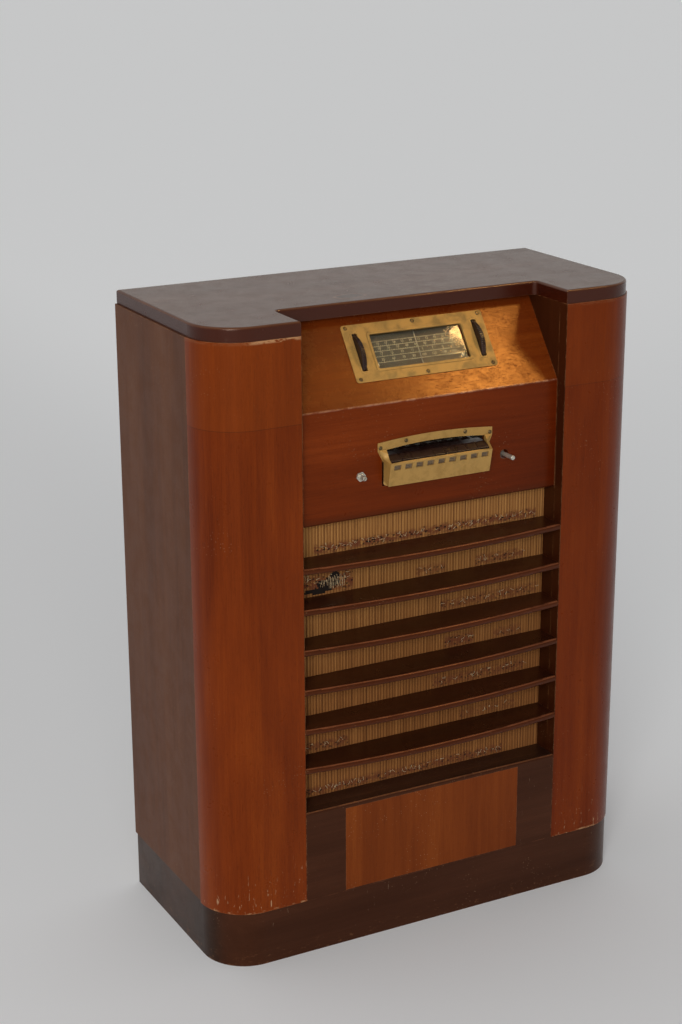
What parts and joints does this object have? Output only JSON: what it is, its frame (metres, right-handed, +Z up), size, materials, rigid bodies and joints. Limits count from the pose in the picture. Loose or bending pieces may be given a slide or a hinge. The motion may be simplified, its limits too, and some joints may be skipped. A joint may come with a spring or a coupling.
{
  "type": "console radio",
  "caption": "Floor-standing console radio: wooden cabinet with bowed louvres over grille cloth, sloping tuning dial with edge wheels, and push keys.",
  "frame": {"origin": "on the floor, at the centre of the bounding box", "axes": "+Z up, +Y to the rear of the cabinet, +X to the right seen from the front"},
  "size_m": [0.697, 0.33, 0.94],
  "materials": {
    "red_veneer": "satin varnish",
    "walnut_veneer": "satin varnish",
    "top_veneer": "glossy varnish",
    "dark_wood": "satin varnish",
    "inlay_veneer": "satin varnish",
    "softwood": "bare",
    "plywood": "bare",
    "grille_cloth": "woven",
    "gilt_brass": "worn satin",
    "clear_glass": "clear",
    "dial_print": "printed",
    "label_card": "printed card",
    "plated_steel": "plated",
    "brass_screw": "tarnished",
    "moulded_plastic": "polished",
    "bakelite": "moulded",
    "aluminium": "satin",
    "black_iron": "black enamel",
    "cone_paper": "pressed paper",
    "cord": "waxed",
    "rubber": "moulded"
  },
  "bodies": {
    "cabinet": {"apron": "dark_wood", "apron_inlay": "inlay_veneer", "band_switch": "plated_steel", "chassis": "plated_steel", "chassis_shelf": "softwood", "control_panel": "red_veneer", "cord_grommet": "rubber", "dial_backplate": "plated_steel", "dial_escutcheon": "gilt_brass", "dial_lamps": "plated_steel", "dial_panel": "red_veneer", "dial_scale": "dial_print", "dial_window": "clear_glass", "drive_cord": "cord", "field_magnet": "black_iron", "filter_capacitors": "aluminium", "fixing_bolts": "plated_steel", "gang_frame": "plated_steel", "grille_cloth": "grille_cloth", "grille_sill": "dark_wood", "inner_battens": "softwood", "key_escutcheon": "gilt_brass", "key_frame": "plated_steel", "label_strip": "label_card", "left_corner_post": "red_veneer", "left_inner_cheek": "dark_wood", "left_side_panel": "walnut_veneer", "louvres": "dark_wood", "output_transformer": "black_iron", "panel_screws": "brass_screw", "plinth": "dark_wood", "power_transformer": "black_iron", "right_corner_post": "red_veneer", "right_inner_cheek": "dark_wood", "right_side_panel": "walnut_veneer", "screening_cans": "aluminium", "speaker_baffle": "plywood", "speaker_basket": "plated_steel", "speaker_cone": "cone_paper", "tone_control": "plated_steel", "top_board": "top_veneer", "valve_bases": "bakelite", "valve_bulbs": "clear_glass", "volume_control": "plated_steel"},
    "volume_spindle": {"volume_shaft": "plated_steel"},
    "tuning_spindle": {"tuning_shaft": "plated_steel"},
    "tuning_rotor": {"gang_rotor": "aluminium", "dial_drum": "aluminium"},
    "pointer": {"dial_pointer": "plated_steel"},
    "tone_wheel": {"tone_wheel": "moulded_plastic"},
    "band_wheel": {"band_wheel": "moulded_plastic"},
    "key_1": {"key_1": "moulded_plastic"},
    "key_2": {"key_2": "moulded_plastic"},
    "key_3": {"key_3": "moulded_plastic"},
    "key_4": {"key_4": "moulded_plastic"},
    "key_5": {"key_5": "moulded_plastic"},
    "key_6": {"key_6": "moulded_plastic"},
    "key_7": {"key_7": "moulded_plastic"},
    "key_8": {"key_8": "moulded_plastic"},
    "key_9": {"key_9": "moulded_plastic"}
  },
  "joints": [
    {"name": "volume_turn", "type": "hinge", "parent": "cabinet", "child": "volume_spindle", "pos_m": [-0.112, -0.14, 0.707], "axis": [0, 1, 0], "range_deg": [0, 300]},
    {"name": "gang_turn", "type": "hinge", "parent": "cabinet", "child": "tuning_rotor", "pos_m": [0.025, 0, 0.772], "axis": [0, 1, 0], "range_deg": [-90, 90]},
    {"name": "tuning_turn", "type": "hinge", "parent": "cabinet", "child": "tuning_spindle", "pos_m": [0.123, -0.14, 0.707], "axis": [0, 1, 0], "range_deg": [-980, 980]},
    {"name": "pointer_slide", "type": "slide", "parent": "cabinet", "child": "pointer", "axis": [1, 0, 0], "range_m": [-0.065, 0.065]},
    {"name": "tone_turn", "type": "hinge", "parent": "cabinet", "child": "tone_wheel", "pos_m": [-0.0888, -0.06742, 0.85662], "axis": [1, 0, 0], "range_deg": [0, 300]},
    {"name": "band_turn", "type": "hinge", "parent": "cabinet", "child": "band_wheel", "pos_m": [0.1042, -0.06742, 0.85662], "axis": [1, 0, 0], "range_deg": [-30, 30]},
    {"name": "key_1_press", "type": "hinge", "parent": "cabinet", "child": "key_1", "pos_m": [-0.0633, -0.09, 0.728], "axis": [1, 0, 0], "range_deg": [0, 5.5], "stiffness_Nm_per_rad": 1.5, "springref_deg": -2.86},
    {"name": "key_2_press", "type": "hinge", "parent": "cabinet", "child": "key_2", "pos_m": [-0.04555, -0.09, 0.728], "axis": [1, 0, 0], "range_deg": [0, 5.5], "stiffness_Nm_per_rad": 1.5, "springref_deg": -2.86},
    {"name": "key_3_press", "type": "hinge", "parent": "cabinet", "child": "key_3", "pos_m": [-0.0278, -0.09, 0.728], "axis": [1, 0, 0], "range_deg": [0, 5.5], "stiffness_Nm_per_rad": 1.5, "springref_deg": -2.86},
    {"name": "key_4_press", "type": "hinge", "parent": "cabinet", "child": "key_4", "pos_m": [-0.01005, -0.09, 0.728], "axis": [1, 0, 0], "range_deg": [0, 5.5], "stiffness_Nm_per_rad": 1.5, "springref_deg": -2.86},
    {"name": "key_5_press", "type": "hinge", "parent": "cabinet", "child": "key_5", "pos_m": [0.0077, -0.09, 0.728], "axis": [1, 0, 0], "range_deg": [0, 5.5], "stiffness_Nm_per_rad": 1.5, "springref_deg": -2.86},
    {"name": "key_6_press", "type": "hinge", "parent": "cabinet", "child": "key_6", "pos_m": [0.02545, -0.09, 0.728], "axis": [1, 0, 0], "range_deg": [0, 5.5], "stiffness_Nm_per_rad": 1.5, "springref_deg": -2.86},
    {"name": "key_7_press", "type": "hinge", "parent": "cabinet", "child": "key_7", "pos_m": [0.0432, -0.09, 0.728], "axis": [1, 0, 0], "range_deg": [0, 5.5], "stiffness_Nm_per_rad": 1.5, "springref_deg": -2.86},
    {"name": "key_8_press", "type": "hinge", "parent": "cabinet", "child": "key_8", "pos_m": [0.06095, -0.09, 0.728], "axis": [1, 0, 0], "range_deg": [0, 5.5], "stiffness_Nm_per_rad": 1.5, "springref_deg": -2.86},
    {"name": "key_9_press", "type": "hinge", "parent": "cabinet", "child": "key_9", "pos_m": [0.0787, -0.09, 0.728], "axis": [1, 0, 0], "range_deg": [0, 5.5], "stiffness_Nm_per_rad": 1.5, "springref_deg": -2.86}
  ],
  "couplings": [
    {"joint": "tuning_turn", "follows": "gang_turn", "ratio": 10.842},
    {"joint": "pointer_slide", "follows": "gang_turn", "m_per_rad": 0.0412}
  ]
}
